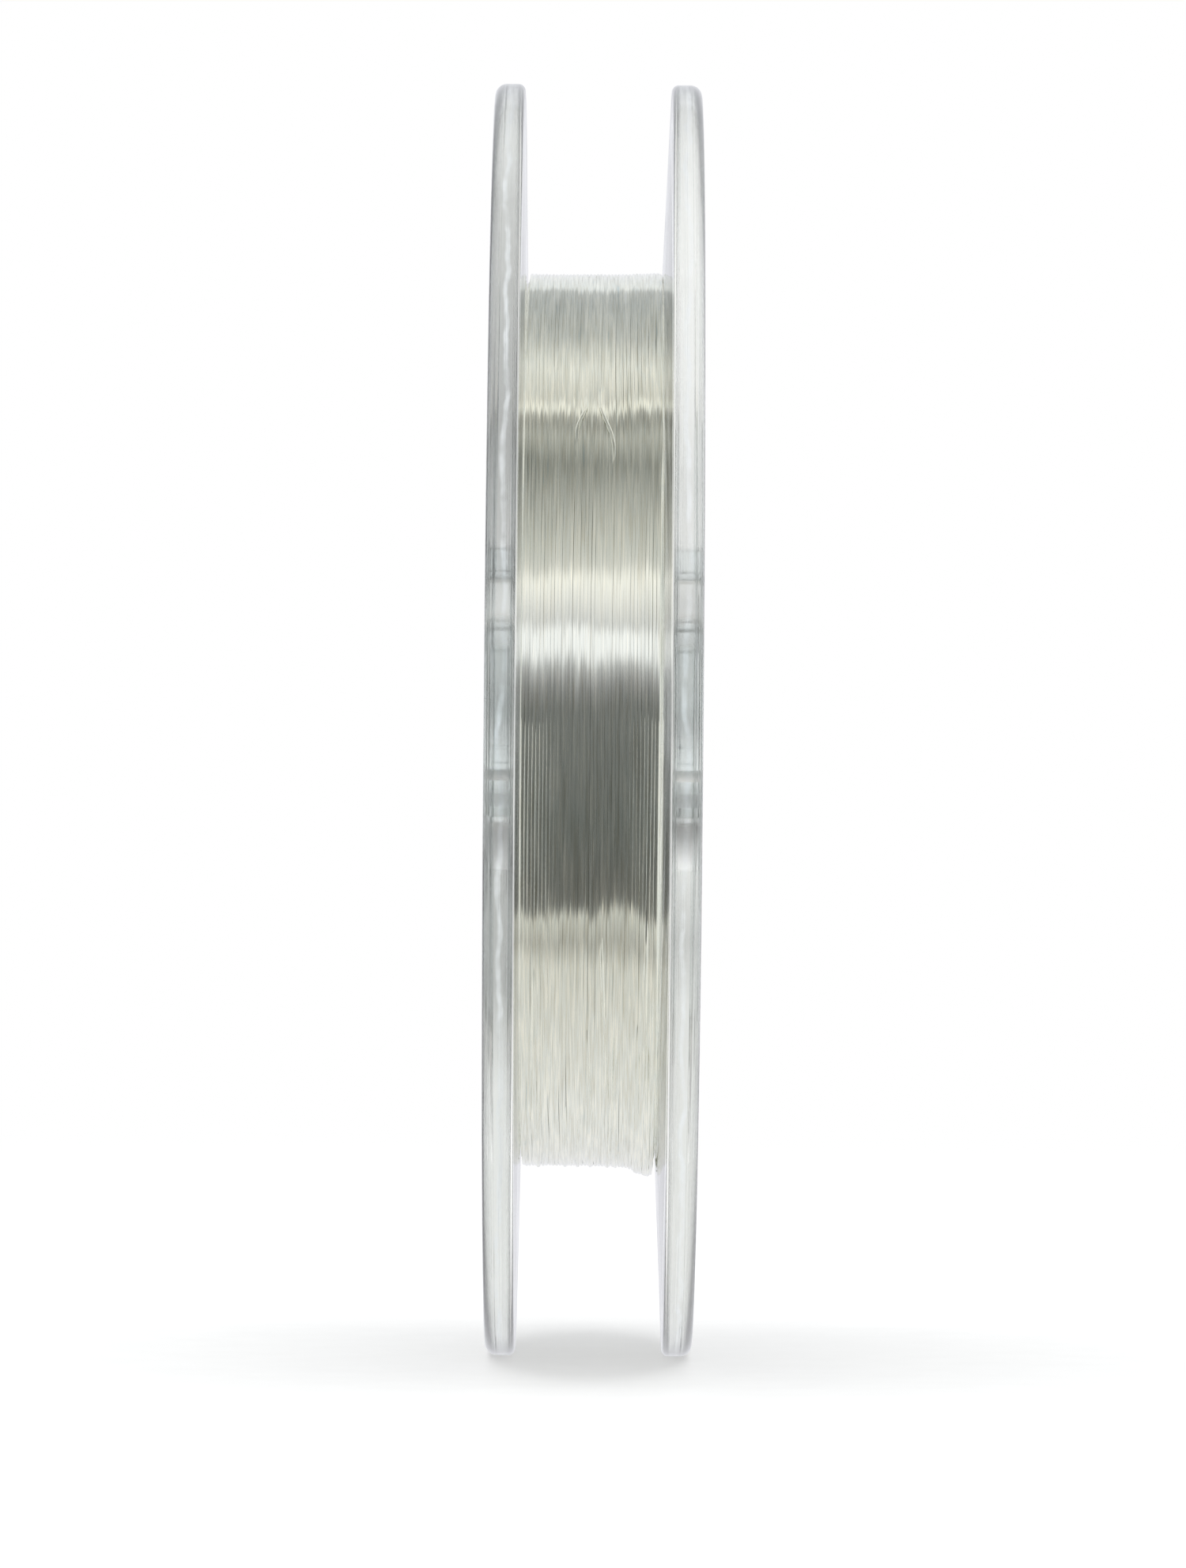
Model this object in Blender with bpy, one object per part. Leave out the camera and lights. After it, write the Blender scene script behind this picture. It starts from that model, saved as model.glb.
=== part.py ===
"""Small clear spool of fine monofilament line.

Frame: metres, +Z up, the spool stands on the rims of its two flanges. Its axis is Y and the origin is the
centre of the bore, so the left flange is at -Y and the right one at +Y. Every round piece is a polygon whose
flats lie at the stated radius, and one flat faces straight down.
"""

import math

import bmesh
import bpy
from mathutils import Matrix, Vector

MM = 0.001

# Whole spool
FLANGE_RADIUS = 34.0 * MM
HALF_WIDTH = 5.5 * MM
SEGMENTS = 60
FACET = 2 * math.pi / SEGMENTS

# Flange: rim, web and the boss round the hub tube
RIM_THICKNESS = 1.58 * MM
RIM_INNER_RADIUS = 0.35 * MM
RIM_OUTER_RADIUS = 0.95 * MM
RIM_BAND = 2.2 * MM
RECESS_DEPTH = 0.5 * MM
RECESS_SLOPE = 0.4 * MM
LEFT_FACE_DRAFT = 0.3 * MM
RIGHT_FACE_DRAFT = 0.7 * MM
BOSS_RADIUS = 7.2 * MM

# Hub core: axle tube, web, ribs and winding drum
BORE_RADIUS = 4.0 * MM
TUBE_RADIUS = 5.5 * MM
SHOULDER_RADIUS = 6.3 * MM
TUBE_CHAMFER = 0.3 * MM
DRUM_RADIUS = 17.5 * MM
DRUM_WALL = 1.5 * MM
TONGUE_WIDTH = 0.8 * MM
TONGUE_LENGTH = 0.5 * MM
HUB_WEB_THICKNESS = 1.2 * MM
RIB_COUNT = 6
RIB_THICKNESS = 1.0 * MM
RIB_HALF_WIDTH = 3.1 * MM
KEY_COUNT = 3
KEY_WIDTH = 1.6 * MM
KEY_HEIGHT = 0.8 * MM
ANCHOR_HOLE_RADIUS = 0.6 * MM
ANCHOR_HOLE_Y = 2.0 * MM
ANCHOR_HOLE_FACET = 4

# Assembly gaps between pieces that are pressed or wound together
FIT_GAP = 0.05 * MM
GROOVE_GAP = 0.1 * MM

# Wound line: layers of 0.18 mm line between the drum and this outer radius
WINDING_RADIUS = 23.88 * MM
WINDING_DISH = 0.1 * MM
WINDING_TILT = 0.05 * MM
WINDING_SHOULDER = 0.15 * MM
WINDING_STEPS = 6
WINDING_INNER_GAP = 0.25 * MM
LEFT_END_GAP = 0.12 * MM
RIGHT_END_GAP = 0.06 * MM

# Tapes and labels
TAPE_THICKNESS = 0.1 * MM
START_TAPE_HALF_WIDTH = 2.5 * MM
START_TAPE_FACETS = (5, 14)
END_TAPE_HALF_WIDTH = 3.0 * MM
END_TAPE_FACETS = (26, 33)
END_TAPE_STEPS = 4
LABEL_THICKNESS = 0.12 * MM
LABEL_HOLE_RADIUS = 7.6 * MM
LEFT_LABEL_RADIUS = 19.0 * MM
RIGHT_LABEL_RADIUS = 12.5 * MM

# Worked out from the above
RIM_FACE_Y = HALF_WIDTH - RIM_THICKNESS
LEFT_HUB_FACE_Y = RIM_FACE_Y - LEFT_FACE_DRAFT
RIGHT_HUB_FACE_Y = RIM_FACE_Y - RIGHT_FACE_DRAFT
WEB_FACE_Y = HALF_WIDTH - RECESS_DEPTH
TUBE_HOLE_RADIUS = TUBE_RADIUS + FIT_GAP


def clear_scene():
    for obj in list(bpy.data.objects):
        bpy.data.objects.remove(obj, do_unlink=True)


def make_material(name, color, roughness, alpha=1.0):
    material = bpy.data.materials.new(name)
    material.use_nodes = True
    shader = material.node_tree.nodes["Principled BSDF"]
    shader.inputs["Base Color"].default_value = (*color, 1.0)
    shader.inputs["Roughness"].default_value = roughness
    shader.inputs["Metallic"].default_value = 0.0
    shader.inputs["Alpha"].default_value = alpha
    return material


def add_object(name, solid, material, parent):
    """An object named name, shaded smooth, whose mesh is the bmesh solid."""
    mesh = bpy.data.meshes.new(name)
    solid.to_mesh(mesh)
    solid.free()
    obj = bpy.data.objects.new(name, mesh)
    bpy.context.scene.collection.objects.link(obj)
    obj.parent = parent
    if material:
        mesh.materials.append(material)
        mesh.shade_smooth()
        mesh.set_sharp_from_angle(angle=math.radians(35))
    return obj


def add_helper(name, solid, parent):
    """A tool body for a Boolean, left out of every render."""
    helper = add_object(name, solid, None, parent)
    helper.hide_render = True
    helper.display_type = "WIRE"
    return helper


def combine(obj, helper, operation):
    modifier = obj.modifiers.new(helper.name, "BOOLEAN")
    modifier.object = helper
    modifier.operation = operation
    modifier.solver = "EXACT"


def corner_arc(center_radius, center_y, radius, first, last, steps):
    """Points (r, y) of an arc in the section plane, from angle first to last."""
    points = []
    for step in range(steps + 1):
        angle = math.radians(first + (last - first) * step / steps)
        points.append((center_radius + radius * math.cos(angle), center_y + radius * math.sin(angle)))
    return points


def turned(profile, facets=(0, SEGMENTS)):
    """The solid that a closed section of (r, y) points sweeps about Y, all round or between two facets."""
    whole = facets[1] - facets[0] == SEGMENTS
    start = Matrix.Rotation(-(facets[0] + 0.5) * FACET, 4, "Y")
    to_corner = 1 / math.cos(FACET / 2)
    solid = bmesh.new()
    loop = [solid.verts.new(start @ Vector((r * to_corner, y, 0))) for r, y in profile]
    for first, second in zip(loop, loop[1:] + loop[:1]):
        solid.edges.new((first, second))
    bmesh.ops.spin(
        solid,
        geom=list(solid.verts) + list(solid.edges),
        cent=(0, 0, 0),
        axis=(0, -1, 0),
        angle=(facets[1] - facets[0]) * FACET,
        steps=facets[1] - facets[0],
        use_merge=whole,
    )
    if not whole:
        open_edges = [edge for edge in solid.edges if edge.is_boundary]
        bmesh.ops.holes_fill(solid, edges=open_edges)
    bmesh.ops.recalc_face_normals(solid, faces=solid.faces)
    return solid


def blocks_around(count, first_angle, inner, outer, width, low_y, high_y):
    """Equal radial blocks round the axis, each from radius inner to outer."""
    solid = bmesh.new()
    size = Matrix.Diagonal((outer - inner, high_y - low_y, width, 1))
    place = Matrix.Translation(((inner + outer) / 2, (low_y + high_y) / 2, 0))
    for index in range(count):
        turn = Matrix.Rotation(-(first_angle + index * 2 * math.pi / count), 4, "Y")
        bmesh.ops.create_cube(solid, size=1, matrix=turn @ place @ size)
    return solid


def radial_pin(radius, angle, y, inner, outer):
    """A round bar along the radial direction at angle, for drilling a wall."""
    solid = bmesh.new()
    turn = Matrix.Rotation(-angle, 4, "Y")
    place = Matrix.Translation(((inner + outer) / 2, y, 0)) @ Matrix.Rotation(math.pi / 2, 4, "Y")
    bmesh.ops.create_cone(
        solid,
        cap_ends=True,
        segments=16,
        radius1=radius,
        radius2=radius,
        depth=outer - inner,
        matrix=turn @ place,
    )
    return solid


def flange_section(hub_face_y):
    """A flange at +Y whose inner face meets the drum at hub_face_y, with groove, rim, recess and boss."""
    groove_inner = DRUM_RADIUS - DRUM_WALL - GROOVE_GAP
    groove_outer = groove_inner + TONGUE_WIDTH + 2 * GROOVE_GAP
    groove_floor = hub_face_y + TONGUE_LENGTH
    inner_corner = FLANGE_RADIUS - RIM_INNER_RADIUS
    outer_corner = FLANGE_RADIUS - RIM_OUTER_RADIUS
    rim_edge = FLANGE_RADIUS - RIM_BAND
    points = [
        (TUBE_HOLE_RADIUS, hub_face_y),
        (groove_inner, hub_face_y),
        (groove_inner, groove_floor),
        (groove_outer, groove_floor),
        (groove_outer, hub_face_y),
        (DRUM_RADIUS, hub_face_y),
    ]
    points += corner_arc(inner_corner, RIM_FACE_Y + RIM_INNER_RADIUS, RIM_INNER_RADIUS, -90, 0, 4)
    points += corner_arc(outer_corner, HALF_WIDTH - RIM_OUTER_RADIUS, RIM_OUTER_RADIUS, 0, 90, 6)
    points += [
        (rim_edge, HALF_WIDTH),
        (rim_edge - RECESS_SLOPE, WEB_FACE_Y),
        (BOSS_RADIUS + RECESS_SLOPE / 2, WEB_FACE_Y),
        (BOSS_RADIUS, HALF_WIDTH),
        (TUBE_HOLE_RADIUS, HALF_WIDTH),
    ]
    return points


def hub_half_section(hub_face_y):
    """The half of the hub core at +Y, from bore to drum, for a flange whose face is at hub_face_y."""
    drum_inner = DRUM_RADIUS - DRUM_WALL
    drum_end = hub_face_y - FIT_GAP
    tongue_end = drum_end + TONGUE_LENGTH
    web_y = HUB_WEB_THICKNESS / 2
    return [
        (BORE_RADIUS, HALF_WIDTH - TUBE_CHAMFER),
        (BORE_RADIUS + TUBE_CHAMFER, HALF_WIDTH),
        (TUBE_RADIUS - TUBE_CHAMFER, HALF_WIDTH),
        (TUBE_RADIUS, HALF_WIDTH - TUBE_CHAMFER),
        (TUBE_RADIUS, drum_end),
        (SHOULDER_RADIUS, drum_end),
        (SHOULDER_RADIUS, web_y),
        (drum_inner, web_y),
        (drum_inner, tongue_end),
        (drum_inner + TONGUE_WIDTH, tongue_end),
        (drum_inner + TONGUE_WIDTH, drum_end),
        (DRUM_RADIUS, drum_end),
    ]


def mirrored(points):
    """The same section on the other side of the middle plane, run the other way round."""
    return [(r, -y) for r, y in reversed(points)]


def flange_face_y(hub_face_y, radius):
    """How far a flange's inner face, which opens a little outwards, is from the middle plane at a radius."""
    rim_start = FLANGE_RADIUS - RIM_INNER_RADIUS
    return hub_face_y + (RIM_FACE_Y - hub_face_y) * (radius - DRUM_RADIUS) / (rim_start - DRUM_RADIUS)


def winding_surface(y):
    """Radius of the outermost turns: hollow in the middle and a little fuller at the right end."""
    along = y / RIM_FACE_Y
    return WINDING_RADIUS + WINDING_DISH * along**2 + WINDING_TILT * along


def winding_section():
    inner = DRUM_RADIUS + WINDING_INNER_GAP
    left_y = LEFT_END_GAP - flange_face_y(LEFT_HUB_FACE_Y, WINDING_RADIUS)
    right_y = flange_face_y(RIGHT_HUB_FACE_Y, WINDING_RADIUS) - RIGHT_END_GAP
    points = [
        (inner, LEFT_END_GAP - LEFT_HUB_FACE_Y),
        (inner, RIGHT_HUB_FACE_Y - RIGHT_END_GAP),
        (winding_surface(right_y) - WINDING_SHOULDER, right_y),
    ]
    span = right_y - left_y - 2 * WINDING_SHOULDER
    for step in range(WINDING_STEPS + 1):
        y = right_y - WINDING_SHOULDER - span * step / WINDING_STEPS
        points.append((winding_surface(y), y))
    points.append((winding_surface(left_y) - WINDING_SHOULDER, left_y))
    return points


def end_tape_section():
    """A strip that follows the winding's surface."""
    inner = []
    for step in range(END_TAPE_STEPS + 1):
        y = END_TAPE_HALF_WIDTH * (2 * step / END_TAPE_STEPS - 1)
        inner.append((winding_surface(y) + FIT_GAP, y))
    outer = [(r + TAPE_THICKNESS, y) for r, y in reversed(inner)]
    return inner + outer


def band_section(inner, outer, low_y, high_y):
    return [(inner, low_y), (inner, high_y), (outer, high_y), (outer, low_y)]


def add_flange(name, section, material, parent):
    flange = add_object(name, turned(section), material, parent)
    slots = blocks_around(
        KEY_COUNT,
        math.pi / 2,
        BORE_RADIUS,
        TUBE_RADIUS + KEY_HEIGHT + GROOVE_GAP,
        KEY_WIDTH + 2 * GROOVE_GAP,
        -2 * HALF_WIDTH,
        2 * HALF_WIDTH,
    )
    combine(flange, add_helper(name + "_key_slots", slots, parent), "DIFFERENCE")
    return flange


def add_hub_core(material, parent):
    section = hub_half_section(RIGHT_HUB_FACE_Y) + mirrored(hub_half_section(LEFT_HUB_FACE_Y))
    hub = add_object("hub_core", turned(section), material, parent)
    buried = DRUM_WALL / 3
    ribs = blocks_around(
        RIB_COUNT,
        math.pi / RIB_COUNT,
        TUBE_RADIUS,
        DRUM_RADIUS - DRUM_WALL + buried,
        RIB_THICKNESS,
        -RIB_HALF_WIDTH,
        RIB_HALF_WIDTH,
    )
    combine(hub, add_helper("hub_ribs", ribs, parent), "UNION")
    for side in (-1, 1):
        ends = sorted((side * RIB_HALF_WIDTH, side * (HALF_WIDTH - TUBE_CHAMFER)))
        keys = blocks_around(
            KEY_COUNT, math.pi / 2, TUBE_RADIUS - KEY_HEIGHT / 2, TUBE_RADIUS + KEY_HEIGHT, KEY_WIDTH, *ends
        )
        combine(hub, add_helper("hub_keys_right" if side > 0 else "hub_keys_left", keys, parent), "UNION")
    anchor = radial_pin(
        ANCHOR_HOLE_RADIUS,
        ANCHOR_HOLE_FACET * FACET,
        ANCHOR_HOLE_Y,
        DRUM_RADIUS - 2 * DRUM_WALL,
        DRUM_RADIUS + DRUM_WALL,
    )
    combine(hub, add_helper("anchor_hole", anchor, parent), "DIFFERENCE")
    return hub


def add_labels(material, parent):
    inner_y = WEB_FACE_Y + FIT_GAP
    outer_y = inner_y + LABEL_THICKNESS
    left = mirrored(band_section(LABEL_HOLE_RADIUS, LEFT_LABEL_RADIUS, inner_y, outer_y))
    right = band_section(LABEL_HOLE_RADIUS, RIGHT_LABEL_RADIUS, inner_y, outer_y)
    add_object("label_left", turned(left), material, parent)
    add_object("label_right", turned(right), material, parent)


def add_tapes(material, parent):
    inner = DRUM_RADIUS + FIT_GAP
    start = band_section(inner, inner + TAPE_THICKNESS, -START_TAPE_HALF_WIDTH, START_TAPE_HALF_WIDTH)
    add_object("start_tape", turned(start, START_TAPE_FACETS), material, parent)
    add_object("end_tape", turned(end_tape_section(), END_TAPE_FACETS), material, parent)


def main():
    clear_scene()
    axis = bpy.data.objects.new("spool_axis", None)
    bpy.context.scene.collection.objects.link(axis)

    clear_plastic = make_material("clear_plastic", (0.80, 0.85, 0.87), 0.06, 0.35)
    line = make_material("monofilament", (0.70, 0.71, 0.65), 0.18)
    paper = make_material("label_paper", (0.88, 0.88, 0.86), 0.55)
    tape = make_material("clear_tape", (0.92, 0.92, 0.88), 0.15, 0.4)

    add_flange("flange_left", mirrored(flange_section(LEFT_HUB_FACE_Y)), clear_plastic, axis)
    add_flange("flange_right", flange_section(RIGHT_HUB_FACE_Y), clear_plastic, axis)
    add_hub_core(clear_plastic, axis)
    add_object("wound_line", turned(winding_section()), line, axis)
    add_tapes(tape, axis)
    add_labels(paper, axis)


main()
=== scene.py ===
import math

import bmesh
import bpy
import numpy as np
from mathutils import Matrix, Vector


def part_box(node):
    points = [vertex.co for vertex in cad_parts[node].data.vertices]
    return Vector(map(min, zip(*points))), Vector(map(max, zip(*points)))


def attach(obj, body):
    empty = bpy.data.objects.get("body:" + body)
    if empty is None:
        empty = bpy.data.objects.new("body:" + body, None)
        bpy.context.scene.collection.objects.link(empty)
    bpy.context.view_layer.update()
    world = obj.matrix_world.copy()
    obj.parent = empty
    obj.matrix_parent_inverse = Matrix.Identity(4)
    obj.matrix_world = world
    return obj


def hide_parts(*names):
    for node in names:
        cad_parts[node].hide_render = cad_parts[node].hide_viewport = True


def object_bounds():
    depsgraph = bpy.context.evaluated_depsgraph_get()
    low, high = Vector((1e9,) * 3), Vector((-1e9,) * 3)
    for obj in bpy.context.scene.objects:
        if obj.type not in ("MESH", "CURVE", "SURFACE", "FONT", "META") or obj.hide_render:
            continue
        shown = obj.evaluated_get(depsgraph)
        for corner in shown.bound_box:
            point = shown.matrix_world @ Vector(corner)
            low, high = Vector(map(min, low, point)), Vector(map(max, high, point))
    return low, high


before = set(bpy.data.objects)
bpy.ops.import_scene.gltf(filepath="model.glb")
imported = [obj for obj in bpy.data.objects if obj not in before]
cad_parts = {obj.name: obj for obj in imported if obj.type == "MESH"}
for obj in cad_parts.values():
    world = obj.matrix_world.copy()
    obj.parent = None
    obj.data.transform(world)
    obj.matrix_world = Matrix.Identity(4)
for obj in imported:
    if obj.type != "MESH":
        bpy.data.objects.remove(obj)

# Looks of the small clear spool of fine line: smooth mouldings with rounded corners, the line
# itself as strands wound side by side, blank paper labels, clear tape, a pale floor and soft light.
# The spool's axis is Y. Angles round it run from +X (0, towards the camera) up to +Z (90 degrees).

CAD_BOX = [list(corner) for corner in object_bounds()]
MM = 0.001
TURN = 2 * math.pi


def low(node):
    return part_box(node)[0]


def high(node):
    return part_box(node)[1]


# Sizes read from the frame. Every round node has a flat facing down, at its stated radius.
FLANGE_RADIUS = -low("flange_right").z
HALF_WIDTH = high("flange_right").y
FLOOR_Z = CAD_BOX[0][2]

# Flanges
FLANGE_SEGMENTS = 240
RIM_FACE = HALF_WIDTH - 1.58 * MM
LEFT_HUB_FACE = RIM_FACE - 0.3 * MM
RIGHT_HUB_FACE = RIM_FACE - 0.7 * MM
RIM_INNER_ROUND = 0.35 * MM
RIM_OUTER_ROUND = 0.6 * MM
RIM_BAND = 2.2 * MM
RECESS_DEPTH = 0.5 * MM
RECESS_SLOPE = 0.4 * MM
BOSS_RADIUS = 7.2 * MM
SMALL_ROUND = 0.12 * MM

# Hub core
HUB_SEGMENTS = 180
BORE_RADIUS = 4.0 * MM
TUBE_RADIUS = 5.5 * MM
SHOULDER_RADIUS = 6.3 * MM
TUBE_CHAMFER = 0.3 * MM
DRUM_RADIUS = 17.5 * MM
DRUM_WALL = 1.5 * MM
TONGUE_WIDTH = 0.8 * MM
TONGUE_LENGTH = 0.5 * MM
HUB_WEB_THICKNESS = 1.2 * MM
RIB_COUNT = 6
RIB_THICKNESS = 1.0 * MM
RIB_HALF_WIDTH = 3.1 * MM
KEY_COUNT = 3
KEY_WIDTH = 1.6 * MM
KEY_HEIGHT = 0.8 * MM
ANCHOR_HOLE_RADIUS = 0.6 * MM
ANCHOR_HOLE_Y = 2.0 * MM
ANCHOR_HOLE_ANGLE = math.radians(24)
FIT_GAP = 0.05 * MM
GROOVE_GAP = 0.1 * MM

# Line: its flatness is how far the shading across a strand still follows its roundness
LINE_RADIUS = 0.097 * MM
LINE_PITCH = 0.185 * MM
LAYER_STEP = 0.155 * MM
STRAND_FLATNESS = 0.05
RIDER_FLATNESS = 0.35
RIDER_END_DEPTH = 0.28 * MM
RIDER_WANDER = 0.01 * MM
WINDING_RADIUS = 23.88 * MM
WINDING_DISH = 0.1 * MM
WINDING_TILT = 0.05 * MM
PILE_HEIGHT = 0.35 * MM
PILE_START = 1.5 * MM
PILE_FULL = 3.3 * MM
LEFT_END_GAP = 0.03 * MM
RIGHT_END_GAP = 0.03 * MM
TOP_LEFT_GAP = 0.1 * MM
LOWER_RIGHT_GAP = 0.1 * MM
END_TURN_SINK = 1.2 * LINE_PITCH
WINDING_INNER_GAP = 0.25 * MM
PACK_UNEVENNESS = 0.05 * MM
PACK_JITTER = 0.02 * MM
# How far the turns stray from even ones, sideways and outwards. The lower values are added low on
# the front, round LOOSE_ANGLE in degrees, where the turns lie looser.
LOOSE_ANGLE = -60
LOOSE_SPREAD = 28
WANDER = 0.006 * MM
SWAY = 0.03 * MM
LOWER_WANDER = 0.016 * MM
LIFT = 0.005 * MM
SAG = 0.010 * MM
SHARED_WAVES = 0.012 * MM
LOWER_LIFT = 0.014 * MM

# Monofilament: colours from the darkest strand to the lightest, how much neighbouring strands
# differ (by the sine of the angle round the axis), and its shine
STRAND_SHADES = [
    (0.34, (0.55, 0.61, 0.58)),
    (0.43, (0.735, 0.715, 0.605)),
    (0.50, (0.775, 0.79, 0.715)),
    (0.57, (0.895, 0.875, 0.755)),
    (0.68, (0.95, 0.96, 0.89)),
]
STRAND_METALLIC = (1.0, 0.90)
STRAND_ROUGHNESS = (-0.06, 0.20)
STRAND_TILT = 0.024
STRAND_VARIETY = [
    (-0.50, 0.85),
    (-0.42, 0.75),
    (0.04, 0.70),
    (0.12, 0.28),
    (0.35, 0.40),
    (0.42, 0.90),
    (0.55, 1.0),
]

# Tape and labels
END_TAPE_ANGLES = (159, 201)
END_TAPE_HALF_WIDTH = 3.0 * MM
END_TAPE_LIFT = 0.05 * MM
END_TAPE_SINK = 0.006 * MM
TAPE_THICKNESS = 0.06 * MM
TAPE_IOR = 1.49
TAPE_SHADES = [
    (0.42, (0.95, 0.94, 0.88)),
    (0.55, (0.98, 0.98, 0.95)),
]
LABEL_SEGMENTS = 180
LABEL_HOLE_RADIUS = 7.6 * MM
LABEL_ROUND = 0.02 * MM
PAPER_SHADES = [
    (0.3, (0.80, 0.80, 0.78)),
    (0.5, (0.88, 0.88, 0.865)),
    (0.7, (0.93, 0.93, 0.92)),
]

# Plastic: how much it absorbs per metre, and the painted shade up the front of each rim
PLASTIC_IOR = 1.46
PLASTIC_ABSORPTION = (0.56, 0.60, 0.61)
PLASTIC_DENSITY = 5.0
# The left flange's plastic absorbs more than the right's: a darker copy of the same plastic, as
# painted shade on that flange
SHADED_LEFT_PLASTIC_DENSITY = 8.0
CLEAR_TINT = (0.97, 0.985, 0.99)
# The tint of the painted shade on the rims' fronts
PAINTED_SHADE_TINT = (1.0, 0.985, 0.93)
# The hub's plastic, with no painted shade
EVEN_SHADES = [(-1, 1), (1, 1)]
# Painted shade up the front of each rim, as (sine of the angle, shade): darker bands in the
# plastic's colour on the side towards the camera
LEFT_RIM_PAINTED_SHADE = [
    (-0.56, 1.0),
    (-0.40, 0.42),
    (-0.20, 0.45),
    (-0.09, 0.88),
    (0.02, 0.36),
    (0.14, 0.78),
    (0.24, 0.48),
    (0.40, 0.30),
    (0.60, 0.42),
    (0.78, 0.52),
    (0.90, 1.0),
]
RIGHT_RIM_PAINTED_SHADE = [
    (-0.62, 0.86),
    (-0.42, 0.78),
    (-0.33, 0.52),
    (-0.22, 0.90),
    (-0.16, 0.34),
    (-0.08, 0.90),
    (-0.02, 0.46),
    (0.12, 0.56),
    (0.17, 0.50),
    (0.22, 0.84),
    (0.34, 0.74),
    (0.50, 0.97),
]
# A painted light streak round each rim, where the painted shade is left out: its place from the
# middle plane and its width
PAINTED_STREAK_PLACE = 4.65 * MM
PAINTED_STREAK_WIDTH = 0.20 * MM

# Camera: in front of the rims, level, rolled a little so that the spool's top leans to the right
CAMERA_DISTANCE = 488 * MM
CAMERA_DROP = 3.41 * MM
CAMERA_ROLL = 0.0085
LENS = 208.9

# Studio: strips of light along the axis, as (degrees round it, brightness from 0 to 255), where
# 0 degrees is towards the camera, 90 up and 180 behind
STUDIO = [
    (-180, 218),
    (-119, 225),
    (-66, 206),
    (-59, 169),
    (-52, 195),
    (-48.7, 106),
    (-43, 97),
    (-28, 99),
    (3, 111),
    (8, 132),
    (12.5, 176),
    (16.3, 247),
    (21.6, 249),
    (23.3, 206),
    (31, 235),
    (35.5, 246),
    (39.5, 206),
    (44, 196),
    (69, 138),
    (77, 174),
    (81.5, 146),
    (84.5, 164),
    (86.4, 238),
    (88.2, 231),
    (89.6, 201),
    (95, 211),
    (102, 221),
    (116, 184),
    (134, 171),
    (144, 181),
    (148, 226),
    (180, 218),
]
# Degrees, and the strips' red and blue there as shares of their green
STUDIO_TINT = [
    (-180, 0.995, 1.045),
    (-105, 0.985, 1.035),
    (-73, 0.995, 0.99),
    (-54, 0.995, 0.965),
    (-28, 0.925, 0.99),
    (0, 0.925, 0.99),
    (8, 0.98, 1.06),
    (21, 0.985, 1.06),
    (35, 1.01, 0.985),
    (58, 0.94, 0.97),
    (89, 0.995, 0.97),
    (134, 0.945, 1.05),
    (180, 0.995, 1.045),
]
# The share of a strip's light that the strands send back
STRAND_GLEAM = 0.80
# The studio at both ends of the axis, then as seen through clear plastic, then seen directly
END_COLOR = (0.84, 0.85, 0.84)
BACKDROP_COLOR = (0.99, 1.0, 0.99)
WHITE = (1.0, 1.0, 1.0)

# Floor: its glow is the share of even white in it near the spool. It is all white past FLOOR_FADE.
FLOOR_HALF_SIZE = 6.0
FLOOR_SHADES = [(0.3, (0.90, 0.90, 0.90)), (0.7, (0.93, 0.93, 0.93))]
FLOOR_GLOW = 0.45
FLOOR_FADE = (0.05, 0.30)

# Lamp overhead
LAMP_SIZE = 2.4
LAMP_HEIGHT = 1.5
LAMP_POWER = 26


# Mesh building

def make_object(name, vertices, faces, material, sharp=30, normals=None):
    """A smooth-shaded object on the spool's body, with its own vertex normals if they are given."""
    mesh = bpy.data.meshes.new(name)
    mesh.from_pydata([tuple(v) for v in vertices], [], [tuple(f) for f in faces])
    obj = finish_object(name, mesh, material, sharp)
    if normals is not None:
        mesh.normals_split_custom_set_from_vertices([tuple(n) for n in normals])
    return obj


def finish_object(name, mesh, material, sharp=30):
    mesh.shade_smooth()
    mesh.set_sharp_from_angle(angle=math.radians(sharp))
    mesh.materials.clear()
    mesh.materials.append(material)
    obj = bpy.data.objects.new(name, mesh)
    bpy.context.scene.collection.objects.link(obj)
    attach(obj, "root")
    return obj


def filleted(corners, steps):
    """A closed section of (r, y) points made from corners (r, y, fillet radius)."""
    points = []
    for index, (r, y, radius) in enumerate(corners):
        here = Vector((r, y))
        if not radius:
            points.append(here)
            continue
        before = (Vector(corners[index - 1][:2]) - here).normalized()
        after = (Vector(corners[(index + 1) % len(corners)][:2]) - here).normalized()
        half = before.angle(after) / 2
        center = here + (before + after).normalized() * (radius / math.sin(half))
        start = here + before * (radius / math.tan(half)) - center
        end = here + after * (radius / math.tan(half)) - center
        sweep = start.angle(end)
        for step in range(steps + 1):
            share = step / steps
            toward = start * math.sin((1 - share) * sweep) + end * math.sin(share * sweep)
            points.append(center + toward / math.sin(sweep))
    return [(p.x, p.y) for p in points]


def around_axis(angle, r, y):
    """Points at an angle round the axis, a distance from it and a place along it."""
    return np.stack(np.broadcast_arrays(r * np.cos(angle), y, r * np.sin(angle)), axis=-1)


def turned(profile, segments):
    """Vertices and quads of a closed section of (r, y) points swept round the axis."""
    r = np.array([p[0] for p in profile])
    y = np.array([p[1] for p in profile])
    angle = np.arange(segments)[:, None] * TURN / segments
    return around_axis(angle, r, y).reshape(-1, 3), quad_grid(segments, len(profile), True)


def quad_grid(rows, columns, wrap_rows):
    """Quads between neighbouring rows of a grid whose columns close into a ring."""
    row = np.arange(rows if wrap_rows else rows - 1)[:, None]
    column = np.arange(columns)[None, :]
    after = (row + 1) % rows
    beside = (column + 1) % columns
    corners = [
        row * columns + column,
        row * columns + beside,
        after * columns + beside,
        after * columns + column,
    ]
    return np.stack(np.broadcast_arrays(*corners), axis=2).reshape(-1, 4)


def mirrored(points):
    return [(r, -y) for r, y in reversed(points)]


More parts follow.
